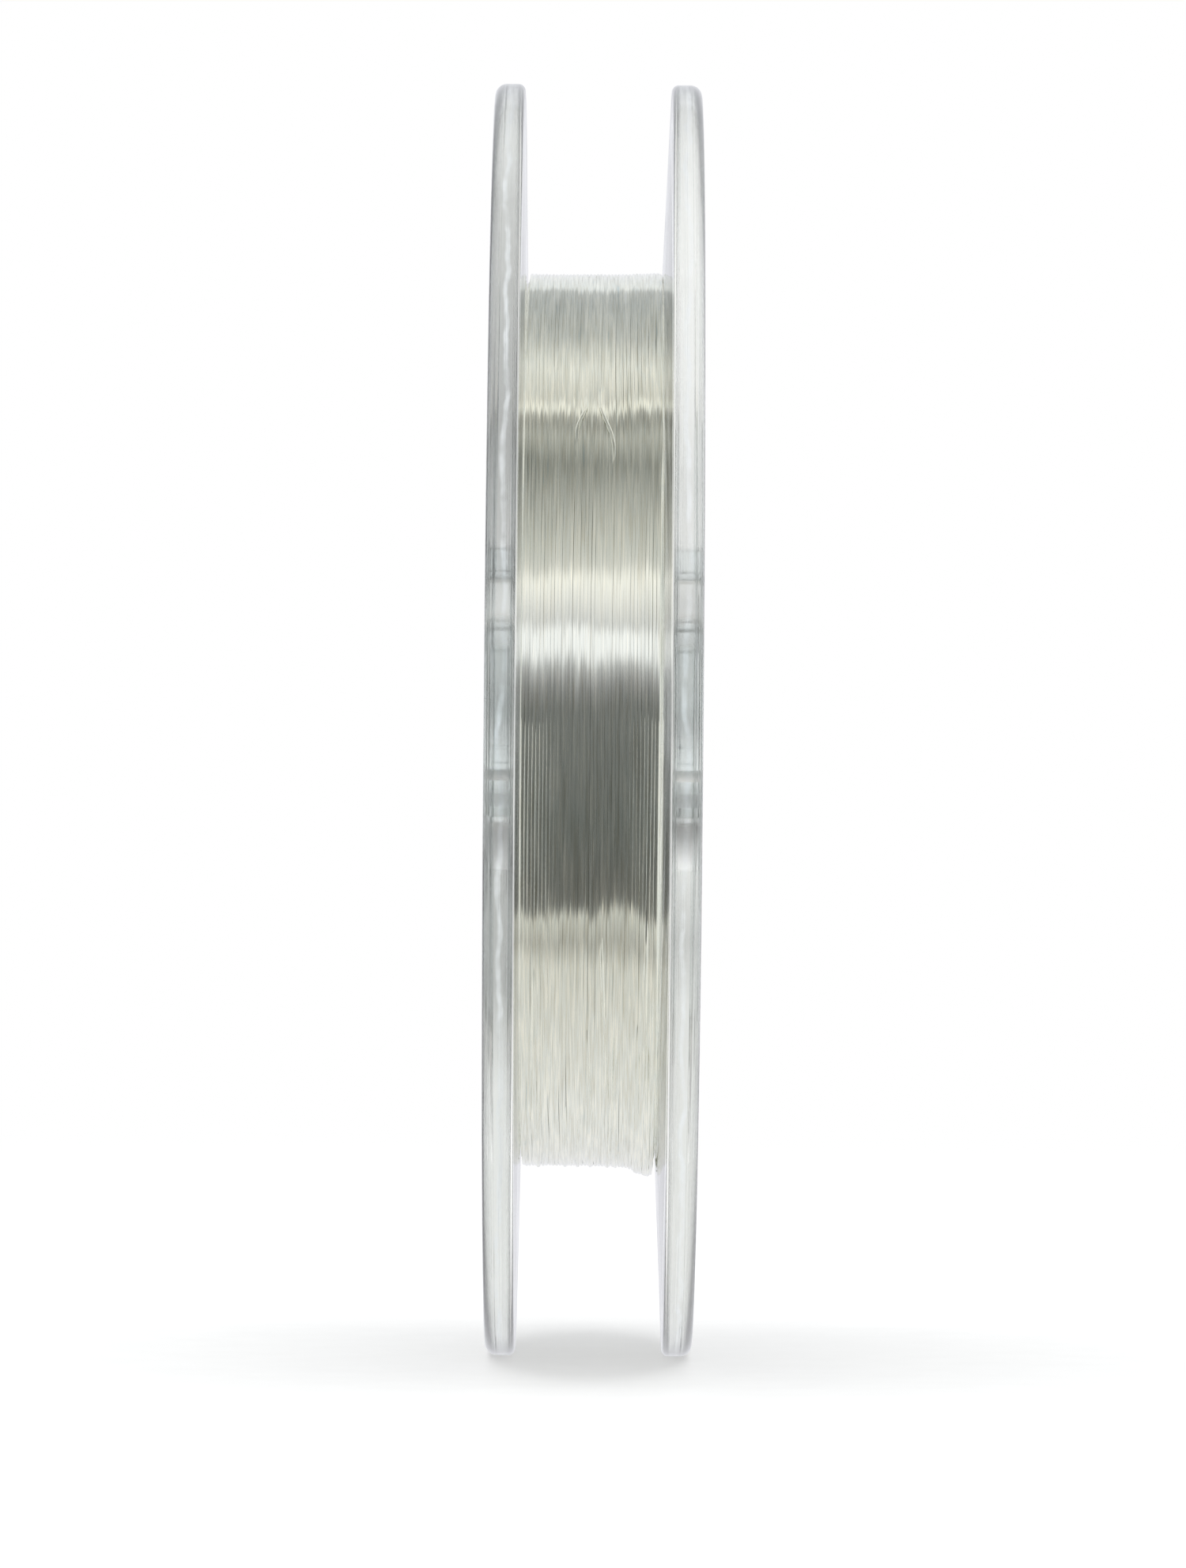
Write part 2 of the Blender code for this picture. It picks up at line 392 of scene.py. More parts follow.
def blocks_around(count, first_angle, inner, outer, width, low_y, high_y):
    """Equal radial blocks round the axis, as a bmesh."""
    solid = bmesh.new()
    size = Matrix.Diagonal((outer - inner, high_y - low_y, width, 1))
    place = Matrix.Translation(((inner + outer) / 2, (low_y + high_y) / 2, 0))
    for index in range(count):
        turn = Matrix.Rotation(-(first_angle + index * TURN / count), 4, "Y")
        bmesh.ops.create_cube(solid, size=1, matrix=turn @ place @ size)
    return solid


def radial_pin(radius, angle, y, inner, outer):
    solid = bmesh.new()
    turn = Matrix.Rotation(-angle, 4, "Y")
    place = Matrix.Translation(((inner + outer) / 2, y, 0)) @ Matrix.Rotation(math.pi / 2, 4, "Y")
    bmesh.ops.create_cone(
        solid,
        cap_ends=True,
        segments=32,
        radius1=radius,
        radius2=radius,
        depth=outer - inner,
        matrix=turn @ place,
    )
    return solid


def carved(name, vertices, faces, tools):
    """The mesh after joining or cutting each (bmesh, operation) in tools."""
    mesh = bpy.data.meshes.new(name)
    mesh.from_pydata([tuple(v) for v in vertices], [], [tuple(f) for f in faces])
    base = bpy.data.objects.new(name, mesh)
    bpy.context.scene.collection.objects.link(base)
    helpers = []
    for solid, operation in tools:
        tool_mesh = bpy.data.meshes.new(name + "_tool")
        solid.to_mesh(tool_mesh)
        solid.free()
        helper = bpy.data.objects.new(name + "_tool", tool_mesh)
        bpy.context.scene.collection.objects.link(helper)
        helpers.append(helper)
        modifier = base.modifiers.new("carve", "BOOLEAN")
        modifier.object = helper
        modifier.operation = operation
        modifier.solver = "EXACT"
    bpy.context.view_layer.update()
    evaluated = base.evaluated_get(bpy.context.evaluated_depsgraph_get())
    result = bpy.data.meshes.new_from_object(evaluated)
    for obj in [base, *helpers]:
        bpy.data.objects.remove(obj, do_unlink=True)
    result.name = name
    return result


# Materials

def new_material(name):
    material = bpy.data.materials.new(name)
    material.use_nodes = True
    return material, material.node_tree, material.node_tree.nodes["Principled BSDF"]


def math_node(tree, operation, *values):
    node = tree.nodes.new("ShaderNodeMath")
    node.operation = operation
    for socket, value in zip(node.inputs, values):
        if isinstance(value, (int, float)):
            socket.default_value = value
        else:
            tree.links.new(value, socket)
    return node.outputs[0]


def ring_coordinates(tree):
    """Sockets (x/r, y, z/r, r): where a point lies round, along and away from the spool's axis."""
    where = tree.nodes.new("ShaderNodeTexCoord").outputs["Object"]
    parts = tree.nodes.new("ShaderNodeSeparateXYZ")
    tree.links.new(where, parts.inputs[0])
    x, y, z = parts.outputs
    x_square = math_node(tree, "MULTIPLY", x, x)
    z_square = math_node(tree, "MULTIPLY", z, z)
    r = math_node(tree, "SQRT", math_node(tree, "ADD", x_square, z_square))
    return math_node(tree, "DIVIDE", x, r), y, math_node(tree, "DIVIDE", z, r), r


def along_turns(tree, round_scale, cross_scale, lean, detail, offset=0.0):
    """Noise drawn out round the axis.

    It has round_scale features per radius of a turn and cross_scale per metre across the turns.
    Lean is how much of the cross scale it also has outwards from the axis.
    """
    x, y, z, r = ring_coordinates(tree)
    cross = math_node(tree, "ADD", math_node(tree, "MULTIPLY", y, cross_scale), offset)
    cross = math_node(tree, "ADD", cross, math_node(tree, "MULTIPLY", r, cross_scale * lean))
    join = tree.nodes.new("ShaderNodeCombineXYZ")
    tree.links.new(math_node(tree, "MULTIPLY", x, round_scale), join.inputs[0])
    tree.links.new(cross, join.inputs[1])
    tree.links.new(math_node(tree, "MULTIPLY", z, round_scale), join.inputs[2])
    noise = tree.nodes.new("ShaderNodeTexNoise")
    noise.inputs["Scale"].default_value = 1.0
    noise.inputs["Detail"].default_value = detail
    tree.links.new(join.outputs[0], noise.inputs["Vector"])
    return noise.outputs["Fac"]


def object_noise(tree, scale, detail):
    noise = tree.nodes.new("ShaderNodeTexNoise")
    noise.inputs["Scale"].default_value = scale
    noise.inputs["Detail"].default_value = detail
    where = tree.nodes.new("ShaderNodeTexCoord").outputs["Object"]
    tree.links.new(where, noise.inputs["Vector"])
    return noise.outputs["Fac"]


def ramp(tree, value, stops):
    """A colour ramp over (position, colour) stops."""
    node = tree.nodes.new("ShaderNodeValToRGB")
    elements = node.color_ramp.elements
    elements[0].position, elements[1].position = stops[0][0], stops[-1][0]
    elements[0].color, elements[1].color = (*stops[0][1], 1.0), (*stops[-1][1], 1.0)
    for position, color in stops[1:-1]:
        elements.new(position).color = (*color, 1.0)
    tree.links.new(value, node.inputs[0])
    return node.outputs["Color"]


def weighted(tree, *parts):
    """The sum of (value, weight) pairs."""
    total = 0.0
    for value, weight in parts:
        total = math_node(tree, "ADD", math_node(tree, "MULTIPLY", value, weight), total)
    return total


def spread(tree, value, lowest, highest):
    """value, about 0.3 to 0.7 from a noise, mapped to lowest to highest."""
    node = tree.nodes.new("ShaderNodeMapRange")
    node.inputs["From Min"].default_value = 0.3
    node.inputs["From Max"].default_value = 0.7
    node.inputs["To Min"].default_value = lowest
    node.inputs["To Max"].default_value = highest
    tree.links.new(value, node.inputs["Value"])
    return node.outputs[0]


def fade(tree, value, start, end, eased=False):
    """0 where value is start and 1 where it is end, in a straight line or eased."""
    node = tree.nodes.new("ShaderNodeMapRange")
    if eased:
        node.interpolation_type = "SMOOTHSTEP"
    node.inputs["From Min"].default_value = start
    node.inputs["From Max"].default_value = end
    tree.links.new(value, node.inputs["Value"])
    return node.outputs[0]


def mixed_color(tree, factor, first, second):
    """first where factor is 0 and second where it is 1. Each is a colour or a socket."""
    node = tree.nodes.new("ShaderNodeMix")
    node.data_type = "RGBA"
    tree.links.new(factor, node.inputs["Factor"])
    for name, color in (("A", first), ("B", second)):
        if isinstance(color, tuple):
            node.inputs[name].default_value = (*color, 1.0)
        else:
            tree.links.new(color, node.inputs[name])
    return node.outputs["Result"]


def bump(tree, height, strength, distance):
    node = tree.nodes.new("ShaderNodeBump")
    node.inputs["Strength"].default_value = strength
    node.inputs["Distance"].default_value = distance
    tree.links.new(height, node.inputs["Height"])
    return node.outputs[0]


def painted_rim_shade(tree, painted_shades):
    """Clear, but for painted shade on the rim's front, by (sine of the angle, shade).

    A wavy, beaded streak that runs round the rim is left without that shade, a painted light
    streak.
    """
    x, y, z, r = ring_coordinates(tree)
    height = math_node(tree, "MULTIPLY_ADD", z, 0.5, 0.5)
    stops = [((sine + 1) / 2, tuple(shade * c for c in PAINTED_SHADE_TINT)) for sine, shade in painted_shades]
    near = fade(tree, r, FLANGE_RADIUS - RIM_OUTER_ROUND, FLANGE_RADIUS - RIM_OUTER_ROUND / 6)
    ahead = fade(tree, x, 0.0, 0.3)
    front = math_node(tree, "MULTIPLY", near, ahead)
    waves = along_turns(tree, 9.0, 300.0, 0.0, 3.0, 31.0)
    wander = spread(tree, waves, -PAINTED_STREAK_WIDTH, PAINTED_STREAK_WIDTH)
    place = math_node(tree, "ADD", math_node(tree, "ABSOLUTE", y), wander)
    past = math_node(tree, "SUBTRACT", math_node(tree, "ABSOLUTE", place), PAINTED_STREAK_PLACE)
    away = math_node(tree, "ABSOLUTE", past)
    beside = fade(tree, away, PAINTED_STREAK_WIDTH * 0.2, PAINTED_STREAK_WIDTH, eased=True)
    beads = spread(tree, along_turns(tree, 26.0, 300.0, 0.0, 2.0, 51.0), 0.15, 0.95)
    streak = math_node(tree, "MULTIPLY", math_node(tree, "SUBTRACT", 1.0, beside), beads)
    shaded = math_node(tree, "MULTIPLY", front, math_node(tree, "SUBTRACT", 1.0, streak))
    return mixed_color(tree, shaded, CLEAR_TINT, ramp(tree, height, stops))


def clear_plastic(name, density, painted_shades):
    """Water-clear moulded plastic, faintly grey in its depth, with fine marks that run round it,
    and painted shade on the front of a rim.
    """
    material, tree, shader = new_material(name)
    tree.links.new(painted_rim_shade(tree, painted_shades), shader.inputs["Base Color"])
    shader.inputs["Transmission Weight"].default_value = 1.0
    shader.inputs["IOR"].default_value = PLASTIC_IOR
    fine = along_turns(tree, 2.5, 5200.0, 0.6, 2.0)
    wide = along_turns(tree, 6.0, 900.0, 0.4, 3.0, 7.0)
    height = math_node(tree, "ADD", fine, math_node(tree, "MULTIPLY", wide, 2.0))
    tree.links.new(spread(tree, wide, 0.03, 0.09), shader.inputs["Roughness"])
    tree.links.new(bump(tree, height, 0.2, 0.01 * MM), shader.inputs["Normal"])
    absorb = tree.nodes.new("ShaderNodeVolumeAbsorption")
    absorb.inputs["Color"].default_value = (*PLASTIC_ABSORPTION, 1.0)
    absorb.inputs["Density"].default_value = density
    tree.links.new(absorb.outputs[0], tree.nodes["Material Output"].inputs["Volume"])
    return material


def tilted_along_turns(tree, amount, noise):
    """The surface normal, tipped along the turns by up to amount either way, as the noise says."""
    x, _, z, _ = ring_coordinates(tree)
    along = tree.nodes.new("ShaderNodeCombineXYZ")
    tree.links.new(math_node(tree, "MULTIPLY", z, -1.0), along.inputs[0])
    tree.links.new(x, along.inputs[2])
    scaled = tree.nodes.new("ShaderNodeVectorMath")
    scaled.operation = "SCALE"
    tree.links.new(along.outputs[0], scaled.inputs[0])
    tree.links.new(spread(tree, noise, -amount, amount), scaled.inputs["Scale"])
    added = tree.nodes.new("ShaderNodeVectorMath")
    added.operation = "ADD"
    tree.links.new(tree.nodes.new("ShaderNodeNewGeometry").outputs["Normal"], added.inputs[0])
    tree.links.new(scaled.outputs[0], added.inputs[1])
    whole = tree.nodes.new("ShaderNodeVectorMath")
    whole.operation = "NORMALIZE"
    tree.links.new(added.outputs[0], whole.inputs[0])
    return whole.outputs[0]


def steadied(tree, noise, variety):
    """noise, kept nearer its middle where variety is below 1."""
    return math_node(tree, "MULTIPLY_ADD", math_node(tree, "SUBTRACT", noise, 0.5), variety, 0.5)


def monofilament(name, lean):
    """Fine line, wound so tightly that the pack gleams like metal, slightly creamy and greenish.

    With lean above 0 its streaks also change outwards, like the rings on the sides of the pack.
    """
    material, tree, shader = new_material(name)
    fine = along_turns(tree, 9.0, 14000.0, lean, 2.0)
    strands = along_turns(tree, 5.0, 5000.0, lean, 2.0, 5.0)
    drift = along_turns(tree, 6.0, 1200.0, 0.2, 3.0, 3.0)
    height = math_node(tree, "MULTIPLY_ADD", ring_coordinates(tree)[2], 0.5, 0.5)
    stops = [((sine + 1) / 2, (share, share, share)) for sine, share in STRAND_VARIETY]
    variety = ramp(tree, height, stops)
    shade = steadied(tree, weighted(tree, (fine, 0.5), (strands, 0.35), (drift, 0.15)), variety)
    tree.links.new(ramp(tree, shade, STRAND_SHADES), shader.inputs["Base Color"])
    metallic = spread(tree, steadied(tree, strands, variety), *STRAND_METALLIC)
    tree.links.new(metallic, shader.inputs["Metallic"])
    dull = along_turns(tree, 4.0, 11000.0, lean, 2.0, 23.0)
    tree.links.new(spread(tree, dull, *STRAND_ROUGHNESS), shader.inputs["Roughness"])
    wide_waves = along_turns(tree, 1.5, 2600.0, lean, 3.0, 11.0)
    fine_waves = along_turns(tree, 5.0, 12000.0, lean, 2.0, 17.0)
    waves = weighted(tree, (wide_waves, 0.4), (fine_waves, 0.6))
    tree.links.new(tilted_along_turns(tree, STRAND_TILT, waves), shader.inputs["Normal"])
    return material


def label_paper():
    """Uncoated white sticker with paper fibres."""
    material, tree, shader = new_material("label_paper")
    fibres = object_noise(tree, 2600.0, 6.0)
    clouds = object_noise(tree, 160.0, 3.0)
    shade = weighted(tree, (fibres, 0.6), (clouds, 0.4))
    tree.links.new(ramp(tree, shade, PAPER_SHADES), shader.inputs["Base Color"])
    tree.links.new(spread(tree, clouds, 0.5, 0.65), shader.inputs["Roughness"])
    tree.links.new(bump(tree, fibres, 0.3, 0.01 * MM), shader.inputs["Normal"])
    return material


def clear_tape():
    """Thin clear film, a little yellowish, with small spots where its glue doesn't touch."""
    material, tree, shader = new_material("clear_tape")
    spots = object_noise(tree, 1500.0, 2.0)
    tree.links.new(ramp(tree, spots, TAPE_SHADES), shader.inputs["Base Color"])
    shader.inputs["Transmission Weight"].default_value = 1.0
    shader.inputs["IOR"].default_value = TAPE_IOR
    tree.links.new(spread(tree, spots, 0.06, 0.22), shader.inputs["Roughness"])
    tree.links.new(bump(tree, spots, 0.3, 0.01 * MM), shader.inputs["Normal"])
    return material


# Mouldings

def flange_profile(hub_face):
    groove_inner = DRUM_RADIUS - DRUM_WALL - GROOVE_GAP
    groove_outer = groove_inner + TONGUE_WIDTH + 2 * GROOVE_GAP
    groove_floor = hub_face + TONGUE_LENGTH
    web_face = HALF_WIDTH - RECESS_DEPTH
    rim_edge = FLANGE_RADIUS - RIM_BAND
    hole = TUBE_RADIUS + FIT_GAP
    corners = [
        (hole, hub_face, SMALL_ROUND),
        (groove_inner, hub_face, 0),
        (groove_inner, groove_floor, 0),
        (groove_outer, groove_floor, 0),
        (groove_outer, hub_face, 0),
        (DRUM_RADIUS, hub_face, 0),
        (FLANGE_RADIUS, RIM_FACE, RIM_INNER_ROUND),
        (FLANGE_RADIUS, HALF_WIDTH, RIM_OUTER_ROUND),
        (rim_edge, HALF_WIDTH, SMALL_ROUND),
        (rim_edge - RECESS_SLOPE, web_face, SMALL_ROUND),
        (BOSS_RADIUS + RECESS_SLOPE / 2, web_face, SMALL_ROUND),
        (BOSS_RADIUS, HALF_WIDTH, SMALL_ROUND),
        (hole, HALF_WIDTH, SMALL_ROUND),
    ]
    return filleted(corners, 10)


def make_flange(name, profile, material):
    slots = blocks_around(
        KEY_COUNT,
        math.pi / 2,
        BORE_RADIUS,
        TUBE_RADIUS + KEY_HEIGHT + GROOVE_GAP,
        KEY_WIDTH + 2 * GROOVE_GAP,
        -2 * HALF_WIDTH,
        2 * HALF_WIDTH,
    )
    mesh = carved(name, *turned(profile, FLANGE_SEGMENTS), [(slots, "DIFFERENCE")])
    return finish_object(name, mesh, material)


def hub_half_profile(hub_face):
    drum_inner = DRUM_RADIUS - DRUM_WALL
    drum_end = hub_face - FIT_GAP
    tongue_end = drum_end + TONGUE_LENGTH
    web_y = HUB_WEB_THICKNESS / 2
    return [
        (BORE_RADIUS, HALF_WIDTH - TUBE_CHAMFER),
        (BORE_RADIUS + TUBE_CHAMFER, HALF_WIDTH),
        (TUBE_RADIUS - TUBE_CHAMFER, HALF_WIDTH),
        (TUBE_RADIUS, HALF_WIDTH - TUBE_CHAMFER),
        (TUBE_RADIUS, drum_end),
        (SHOULDER_RADIUS, drum_end),
        (SHOULDER_RADIUS, web_y),
        (drum_inner, web_y),
        (drum_inner, tongue_end),
        (drum_inner + TONGUE_WIDTH, tongue_end),
        (drum_inner + TONGUE_WIDTH, drum_end),
        (DRUM_RADIUS, drum_end),
    ]


def make_hub(material):
    ribs = blocks_around(
        RIB_COUNT,
        math.pi / RIB_COUNT,
        TUBE_RADIUS,
        DRUM_RADIUS - DRUM_WALL * 2 / 3,
        RIB_THICKNESS,
        -RIB_HALF_WIDTH,
        RIB_HALF_WIDTH,
    )
    tools = [(ribs, "UNION")]
    for side in (-1, 1):
        ends = sorted((side * RIB_HALF_WIDTH, side * (HALF_WIDTH - TUBE_CHAMFER)))
        keys = blocks_around(
            KEY_COUNT,
            math.pi / 2,
            TUBE_RADIUS - KEY_HEIGHT / 2,
            TUBE_RADIUS + KEY_HEIGHT,
            KEY_WIDTH,
            *ends,
        )
        tools.append((keys, "UNION"))
    anchor = radial_pin(
        ANCHOR_HOLE_RADIUS,
        ANCHOR_HOLE_ANGLE,
        ANCHOR_HOLE_Y,
        DRUM_RADIUS - 2 * DRUM_WALL,
        DRUM_RADIUS + DRUM_WALL,
    )
    tools.append((anchor, "DIFFERENCE"))
    profile = hub_half_profile(RIGHT_HUB_FACE) + mirrored(hub_half_profile(LEFT_HUB_FACE))
    mesh = carved("hub_moulding", *turned(profile, HUB_SEGMENTS), tools)
    return finish_object("hub_moulding", mesh, material)


# Line

def flange_face(hub_face, radius):
    """How far a flange's inner face stands from the middle plane at a radius."""
    rim_start = FLANGE_RADIUS - RIM_INNER_ROUND
    return hub_face + (RIM_FACE - hub_face) * (radius - DRUM_RADIUS) / (rim_start - DRUM_RADIUS)


def smooth_step(value, start, end):
    share = np.clip((value - start) / (end - start), 0, 1)
    return share * share * (3 - 2 * share)


def winding_surface(angle, y):
    """The outer radius: dished, a little higher on the right, and piled up at the bottom right."""
    along = y / RIM_FACE
    pile = smooth_step(y, PILE_START, PILE_FULL) * smooth_step(-np.sin(angle), 0.15, 1.0)
    return WINDING_RADIUS + WINDING_DISH * along**2 + WINDING_TILT * along + PILE_HEIGHT * pile


def winding_ends(angle, radius):
    """The y of the first and last turns' centres, which leave the flanges at some angles."""
    height = np.sin(angle)
    left_gap = LEFT_END_GAP + TOP_LEFT_GAP * smooth_step(abs(height), 0.85, 0.97)
    right_gap = RIGHT_END_GAP + LOWER_RIGHT_GAP * smooth_step(-height, -0.7, -0.4)
    left = LINE_RADIUS + left_gap - flange_face(LEFT_HUB_FACE, radius)
    return left, flange_face(RIGHT_HUB_FACE, radius) - right_gap - LINE_RADIUS


def smooth_noise(rng, count, spacing):
    """count samples of a smooth random curve, about -1 to 1, with a knot every spacing samples."""
    knots = rng.normal(0, 0.6, int(count / spacing) + 5)
    place = np.arange(count) / spacing + 1
    first = place.astype(int)
    share = place - first
    p0, p1, p2, p3 = (knots[first + shift] for shift in (-1, 0, 1, 2))
    curve = 2 * p1 + (p2 - p0) * share + (2 * p0 - 5 * p1 + 4 * p2 - p3) * share**2
    return (curve + (3 * p1 - p0 - 3 * p2 + p3) * share**3) / 2


def ripple(rng, count, waves, tilt):
    """A function of angle and y: random long waves that neighbouring turns share."""
    turns = rng.integers(waves[0], waves[1], count)
    slant = rng.normal(0, tilt, count)
    phase = rng.uniform(0, TURN, count)

    def value(angle, y):
        total = 0 * angle
        for number, lean, start in zip(turns, slant, phase):
            total = total + np.sin(number * angle + lean * y / MM + start)
        return total / math.sqrt(count)

    return value


def unit(vectors):
    return vectors / np.linalg.norm(vectors, axis=-1, keepdims=True)


def tube(angle, r, y, radius, sides, flatness=STRAND_FLATNESS):
    """Vertices, faces and normals of a round strand whose centre runs through (angle, r, y).

    The normals lean towards the radial direction, because light that enters the side of a clear
    strand comes out again through the pack as if it had met a flatter surface.
    """
    around = (np.arange(sides)[None, :, None] + 0.5) * TURN / sides
    center = around_axis(angle, r, y)
    along = unit(np.gradient(center, axis=0))
    radial = around_axis(angle, 1.0, 0.0)
    upward = unit(radial - along * np.sum(radial * along, axis=1, keepdims=True))
    sideways = np.cross(along, upward)
    out, across = np.cos(around), np.sin(around)
    vertices = center[:, None] + radius * (out * upward[:, None] + across * sideways[:, None])
    normals = unit(out * upward[:, None] + flatness * across * sideways[:, None])
    faces = quad_grid(len(angle), sides, False).tolist()
    faces.append(list(range(sides))[::-1])
    faces.append([(len(angle) - 1) * sides + side for side in range(sides)])
    return vertices.reshape(-1, 3), faces, normals.reshape(-1, 3)


def join_tubes(tubes):
    faces, offset = [], 0
    for points, quads, _ in tubes:
        faces += [[corner + offset for corner in quad] for quad in quads]
        offset += len(points)
    return np.concatenate([t[0] for t in tubes]), faces, np.concatenate([t[2] for t in tubes])


def layer(rng, depth, hand, per_turn, sides, loose):
    """One wound layer: a continuous helix from flange to flange, depth below the surface layer."""
    left, right = winding_ends(0.0, WINDING_RADIUS - depth)
    turns = round((right - left) / LINE_PITCH)
    count = (turns + 1) * per_turn + 1
    angle = math.pi + np.arange(count) * TURN / per_turn
    place = np.arange(count) / per_turn - 0.5
    beyond = np.maximum(-place, place - turns).clip(0, 1)
    left, right = winding_ends(hand * angle, WINDING_RADIUS - depth)
    y = left + (right - left) * np.clip(place / turns, 0, 1)
    edge = np.clip(np.minimum(y - left, right - y) / (2 * LINE_PITCH), 0, 1)
    degrees = np.degrees((angle + math.pi) % TURN - math.pi)
    lower = np.exp(-(((degrees - LOOSE_ANGLE) / LOOSE_SPREAD) ** 2))
    lower = lower * (0.7 + 1.6 * smooth_step(y, 1.2 * MM, 3.0 * MM))
    shared = ripple(rng, 7, (4, 18), 1.2)
    sway = ripple(rng, 6, (3, 12), 0.6)
    wander = smooth_noise(rng, count, per_turn / 18) * 0.6 + smooth_noise(rng, count, per_turn / 7)
    lift = smooth_noise(rng, count, per_turn / 22)
    sag = smooth_noise(rng, count, per_turn / 9)
    aside = (WANDER + lower * LOWER_WANDER) * wander + SWAY * sway(angle, y)
    y = y + loose * edge * aside
    r = winding_surface(hand * angle, y) - depth - LINE_RADIUS - beyond * END_TURN_SINK
    outward = (LIFT + lower * LOWER_LIFT) * lift + SAG * sag + SHARED_WAVES * shared(angle, y)
    r = r + loose * outward
    return tube(hand * angle, r, y, LINE_RADIUS, sides)


def rider(first, last, y_first, y_last, rng, lift=1.0, bend=1.0, dive_length=15.0):
    """A strand that crosses the others between two angles in degrees, with its ends under them."""
    count = max(24, int(abs(last - first) * 2))
    share = np.linspace(0, 1, count)
    eased = smooth_step(share, 0.5 - bend / 2, 0.5 + bend / 2)
    angle = np.radians(first + (last - first) * share)
    y = y_first + (y_last - y_first) * eased + RIDER_WANDER * smooth_noise(rng, count, 9)
    above = smooth_step(np.minimum(share, 1 - share) * abs(last - first), 0, dive_length)
    height = above * LAYER_STEP * lift - (1 - above) * RIDER_END_DEPTH
    r = winding_surface(angle, y) - LINE_RADIUS + height
    return tube(angle, r, y, LINE_RADIUS, 8, RIDER_FLATNESS)


def make_crossings(rng, material):
    """Loose turns across the outer layer: a V near the top, and a tangle low down on the right."""
    strands = [
        rider(50, 31, -0.52 * MM, -0.98 * MM, rng, 0.8, bend=0.25, dive_length=9.0),
        rider(51, 28, 0.20 * MM, 0.92 * MM, rng, 0.8, bend=0.35, dive_length=9.0),
    ]
    for _ in range(12):
        start = rng.uniform(-50, -15)
        reach = rng.uniform(50, 110)
        y = rng.uniform(2.3, 3.15) * MM
        strands.append(rider(start, start - reach, y, y + rng.normal(0, 0.10) * MM, rng, 0.6))
    for _ in range(9):
        start = rng.uniform(-60, -10)
        reach = rng.uniform(45, 90)
        y = rng.uniform(-3.2, 2.2) * MM
        strands.append(rider(start, start - reach, y, y + rng.normal(0, 0.22) * MM, rng, 0.5))
    vertices, faces, normals = join_tubes(strands)
    return make_object("line_crossings", vertices, faces, material, 60, normals)


def make_pack(rng, material):
    """The layers below: a solid ring whose side faces show every layer's last turn."""
    segments, per_turn = 180, 6
    inner = DRUM_RADIUS + WINDING_INNER_GAP
    top = WINDING_RADIUS - 2 * LAYER_STEP - LINE_RADIUS
    layers = int((top - inner) / LAYER_STEP)
    angle = np.arange(segments)[:, None] * TURN / segments
    columns = []
    right, left = (1, RIGHT_HUB_FACE, RIGHT_END_GAP), (-1, LEFT_HUB_FACE, LEFT_END_GAP)
    for side, hub_face, gap in (right, left):
        radii, ends = [], []
        for number in range(layers):
            middle = inner + (number + 0.5) * (top - inner) / layers
            shift = PACK_UNEVENNESS * (0.5 + 0.5 * math.sin(number * 2.3 + side))
            shift += PACK_JITTER * rng.uniform(0, 1)
            drift = PACK_JITTER * np.sin(angle * rng.integers(2, 7) + rng.uniform(0, TURN))
            end = flange_face(hub_face, middle) - gap - shift
            for step in range(per_turn):
                tilt = math.pi * ((step + 0.5) / per_turn - 0.5)
                radii.append(middle + LAYER_STEP / 2 * math.sin(tilt) + 0 * angle)
                bulge = LINE_RADIUS * math.cos(tilt) - LINE_RADIUS
                ends.append(side * (end + bulge + drift))
        if side < 0:
            radii.reverse()
            ends.reverse()
        columns += list(zip(radii, ends))
    r = np.concatenate([c[0] for c in columns], axis=1)
    y = np.concatenate([c[1] for c in columns], axis=1)
    vertices = around_axis(angle, r, y).reshape(-1, 3)
    faces = quad_grid(segments, r.shape[1], True)
    return make_object("line_pack", vertices, faces, material, sharp=70)


def make_line(material, pack_material):
    rng = np.random.default_rng(7)
    vertices, faces, normals = layer(rng, 0.0, hand=1, per_turn=264, sides=8, loose=1.0)
    outer = make_object("line_outer_layer", vertices, faces, material, 60, normals)
    vertices, faces, normals = layer(rng, LAYER_STEP, hand=-1, per_turn=160, sides=6, loose=0.6)
    below = make_object("line_second_layer", vertices, faces, material, 60, normals)
    pack = make_pack(rng, pack_material)
    crossings = make_crossings(rng, material)
    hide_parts("wound_line")
    return [outer, below, pack, crossings]


# Tape and labels

def make_end_tape(material):
    """A film that lies over the strands and sinks a little between them."""
    first, last = (math.radians(a) for a in END_TAPE_ANGLES)
    angle = np.linspace(first, last, 49)
    across = np.linspace(-END_TAPE_HALF_WIDTH, END_TAPE_HALF_WIDTH, 193)
    sink = END_TAPE_SINK * (np.cos(across * TURN / LINE_PITCH) + np.sin(across / MM * 2.1))
    under = winding_surface(math.pi, across) + END_TAPE_LIFT + sink
    r = np.concatenate([under, (under + TAPE_THICKNESS)[::-1]])
    y = np.concatenate([across, across[::-1]])
    wave = 1 + 0.0004 * np.sin(angle * 31)[:, None]
    r = r[None, :] * wave
    vertices = around_axis(angle[:, None], r, y).reshape(-1, 3)
    rows, columns = len(angle), r.shape[1]
    faces = [quad[::-1] for quad in quad_grid(rows, columns, False).tolist()]
    faces.append(list(range(columns)))
    faces.append([(rows - 1) * columns + c for c in range(columns)][::-1])
    tape = make_object("end_tape_film", vertices, faces, material)
    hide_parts("end_tape")
    return tape


def make_label(node, material):
    """A round paper sticker with a hole for the boss, its edge a little soft."""
    box_low, box_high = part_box(node)
    radius = -box_low.z
    corners = [
        (LABEL_HOLE_RADIUS, box_low.y, LABEL_ROUND),
        (radius, box_low.y, LABEL_ROUND),
        (radius, box_high.y, LABEL_ROUND),
        (LABEL_HOLE_RADIUS, box_high.y, LABEL_ROUND),
    ]
    ring = turned(filleted(corners, 3), LABEL_SEGMENTS)
    label = make_object("paper_" + node, *ring, material)
    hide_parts(node)
    return label


# Studio

